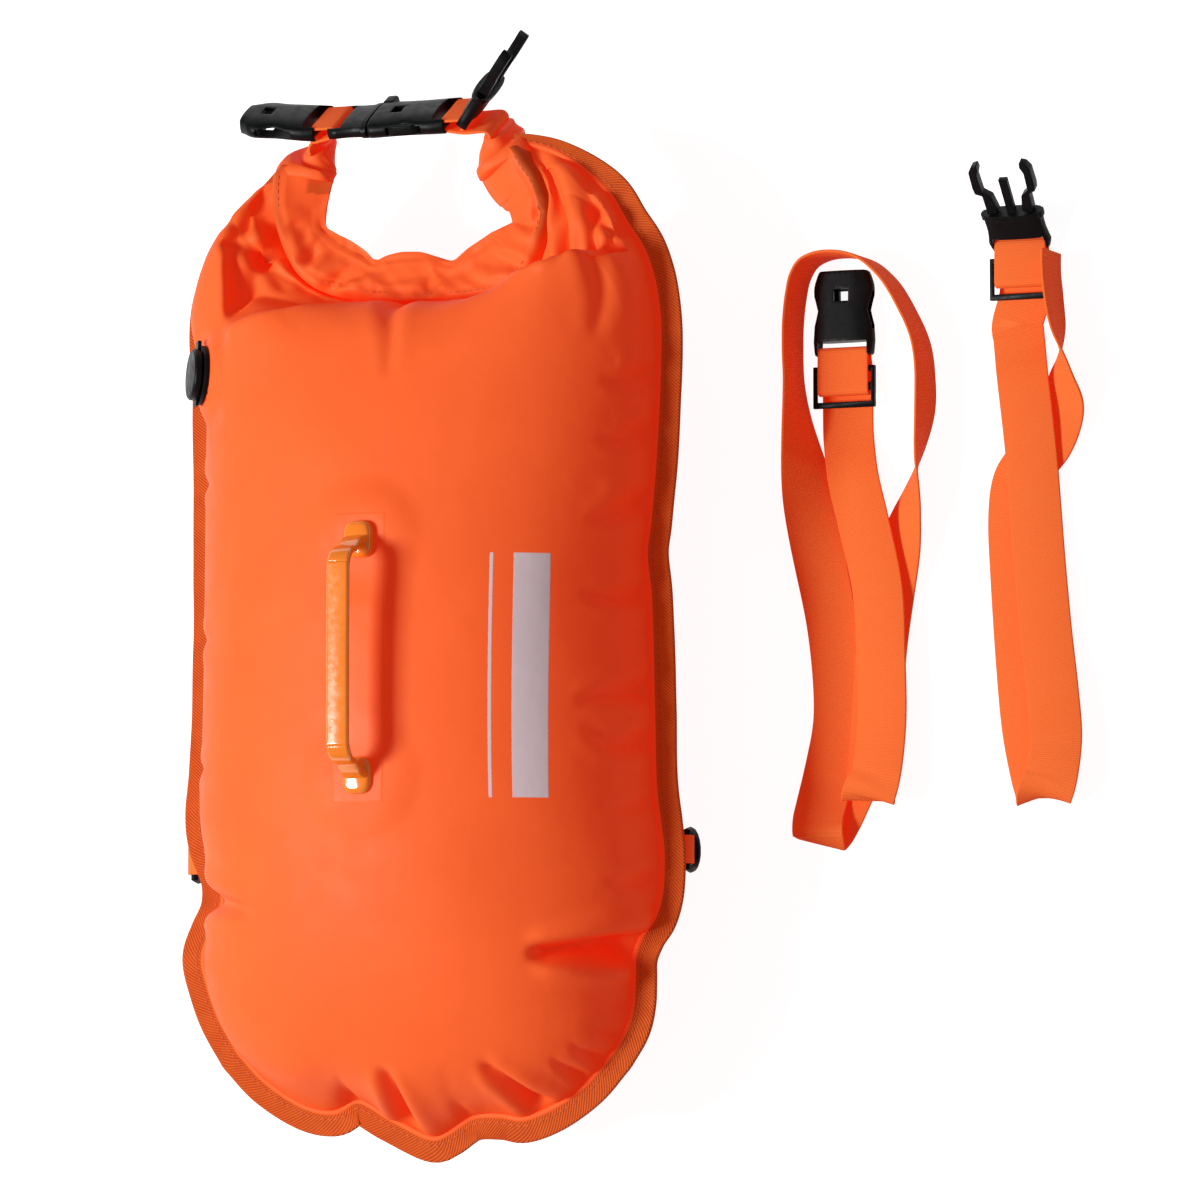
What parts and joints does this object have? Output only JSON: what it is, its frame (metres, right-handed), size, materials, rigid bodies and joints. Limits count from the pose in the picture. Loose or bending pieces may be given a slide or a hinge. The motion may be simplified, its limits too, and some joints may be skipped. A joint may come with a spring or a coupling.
{
  "type": "open water swim buoy",
  "caption": "Inflated roll-top dry bag float in coated fabric, with a clipped carry loop, an inflation valve, a moulded handle, side rings and loose webbing straps with buckle halves.",
  "frame": {"origin": "under the middle of the bag's back, on the surface it lies on", "axes": "+Z out of the bag's front, +Y towards its rolled mouth, +X to its right seen from the front"},
  "size_m": [0.4598, 0.5643, 0.1903],
  "materials": {
    "orange_fabric": "coated, satin",
    "inner_film": "smooth film",
    "inner_strip": "matt",
    "binding_tape": "ribbed weave",
    "webbing": "ribbed weave",
    "amber_plastic": "gloss",
    "black_plastic": "soft gloss",
    "flap_rubber": "matt"
  },
  "bodies": {
    "bag": {"back_panel": "orange_fabric", "divider_film": "inner_film", "edge_binding": "binding_tape", "front_panel": "orange_fabric", "handle_foot_lower": "amber_plastic", "handle_foot_upper": "amber_plastic", "left_end_webbing": "webbing", "left_ring_tab": "webbing", "left_roll_end": "orange_fabric", "main_buckle_base": "black_plastic", "main_buckle_socket": "black_plastic", "mouth_roll": "orange_fabric", "mouth_stiffener": "inner_strip", "right_end_webbing": "webbing", "right_ring_tab": "webbing", "right_roll_end": "orange_fabric", "valve_base": "black_plastic"},
    "main_prong_lower": {"main_buckle_prong_lower": "black_plastic"},
    "main_prong_upper": {"main_buckle_prong_upper": "black_plastic"},
    "left_side_socket": {"left_side_socket": "black_plastic"},
    "right_side_base": {"right_side_base": "black_plastic"},
    "right_prong_lower": {"right_side_prong_lower": "black_plastic"},
    "right_prong_upper": {"right_side_prong_upper": "black_plastic"},
    "valve_cap": {"valve_cap": "black_plastic"},
    "valve_flap": {"valve_flap": "flap_rubber"},
    "handle": {"handle_band": "amber_plastic"},
    "left_ring": {"left_ring": "black_plastic"},
    "right_ring": {"right_ring": "black_plastic"},
    "strap_a": {"strap_a_webbing": "webbing", "strap_a_slider": "black_plastic"},
    "strap_a_socket": {"strap_a_socket": "black_plastic"},
    "strap_b": {"strap_b_webbing": "webbing", "strap_b_slider": "black_plastic"},
    "strap_b_base": {"strap_b_base": "black_plastic"},
    "strap_b_prong_lower": {"strap_b_prong_lower": "black_plastic"},
    "strap_b_prong_upper": {"strap_b_prong_upper": "black_plastic"}
  },
  "joints": [
    {"name": "valve_cap_hinge", "type": "hinge", "parent": "bag", "child": "valve_cap", "pos_m": [-0.11342, 0.11882, 0.11285], "axis": [0.6027, 0.062, 0.7956], "range_deg": [0, 110]},
    {"name": "valve_flap_drop", "type": "slide", "parent": "bag", "child": "valve_flap", "axis": [0.7979, -0.0601, -0.5998], "range_m": [0, 0.003], "stiffness_N_per_m": 5, "springref_m": -0.002},
    {"name": "handle_swing", "type": "hinge", "parent": "bag", "child": "handle", "pos_m": [0, -0.015, 0.17311], "axis": [0, 1, 0], "range_deg": [-35, 35], "stiffness_Nm_per_rad": 0.02},
    {"name": "left_ring_swing", "type": "hinge", "parent": "bag", "child": "left_ring", "pos_m": [-0.13305, -0.1075, 0.0727], "axis": [0, 1, 0], "range_deg": [-25, 80]},
    {"name": "right_ring_swing", "type": "hinge", "parent": "bag", "child": "right_ring", "pos_m": [0.13628, -0.1075, 0.0727], "axis": [0, 1, 0], "range_deg": [-80, 25]},
    {"name": "left_socket_swing", "type": "hinge", "parent": "bag", "child": "left_side_socket", "pos_m": [-0.0605, 0.264, 0.078], "axis": [0, 0.5299, -0.848], "range_deg": [0, 70]},
    {"name": "right_base_swing", "type": "hinge", "parent": "bag", "child": "right_side_base", "pos_m": [0.0215, 0.264, 0.078], "axis": [0, 0.5299, -0.848], "range_deg": [-30, 40]},
    {"name": "strap_a_lift", "type": "slide", "parent": "bag", "child": "strap_a", "axis": [0, 0, 1], "range_m": [0, 0.1]},
    {"name": "strap_a_socket_swing", "type": "hinge", "parent": "strap_a", "child": "strap_a_socket", "pos_m": [0.194, 0.143, 0.0055], "axis": [1, 0, 0], "range_deg": [0, 80]},
    {"name": "strap_b_lift", "type": "slide", "parent": "bag", "child": "strap_b", "axis": [0, 0, 1], "range_m": [0, 0.1]},
    {"name": "strap_b_base_swing", "type": "hinge", "parent": "strap_b", "child": "strap_b_base", "pos_m": [0.2884, 0.193, 0.0055], "axis": [1, 0, 0], "range_deg": [-40, 38], "stiffness_Nm_per_rad": 0.02},
    {"name": "main_prong_lower_flex", "type": "hinge", "parent": "bag", "child": "main_prong_lower", "pos_m": [-0.0295, 0.26907, 0.06988], "axis": [0, -0.848, -0.5299], "range_deg": [0, 12], "stiffness_Nm_per_rad": 0.02},
    {"name": "main_prong_upper_flex", "type": "hinge", "parent": "bag", "child": "main_prong_upper", "pos_m": [-0.0295, 0.25893, 0.08612], "axis": [0, 0.848, 0.5299], "range_deg": [0, 12], "stiffness_Nm_per_rad": 0.02},
    {"name": "right_prong_lower_flex", "type": "hinge", "parent": "right_side_base", "child": "right_prong_lower", "pos_m": [0.03589, 0.28262, 0.07835], "axis": [0.7431, -0.5675, -0.3546], "range_deg": [0, 12], "stiffness_Nm_per_rad": 0.02},
    {"name": "right_prong_upper_flex", "type": "hinge", "parent": "right_side_base", "child": "right_prong_upper", "pos_m": [0.03589, 0.27248, 0.09458], "axis": [-0.7431, 0.5675, 0.3546], "range_deg": [0, 12], "stiffness_Nm_per_rad": 0.02},
    {"name": "strap_b_prong_lower_flex", "type": "hinge", "parent": "strap_b_base", "child": "strap_b_prong_lower", "pos_m": [0.27883, 0.20898, 0.01989], "axis": [0, 0.6691, -0.7431], "range_deg": [0, 12], "stiffness_Nm_per_rad": 0.02},
    {"name": "strap_b_prong_upper_flex", "type": "hinge", "parent": "strap_b_base", "child": "strap_b_prong_upper", "pos_m": [0.29797, 0.20898, 0.01989], "axis": [0, -0.6691, 0.7431], "range_deg": [0, 12], "stiffness_Nm_per_rad": 0.02}
  ],
  "couplings": [
    {"joint": "main_prong_upper_flex", "follows": "main_prong_lower_flex", "ratio": 1},
    {"joint": "right_prong_upper_flex", "follows": "right_prong_lower_flex", "ratio": 1},
    {"joint": "strap_b_prong_upper_flex", "follows": "strap_b_prong_lower_flex", "ratio": 1}
  ]
}
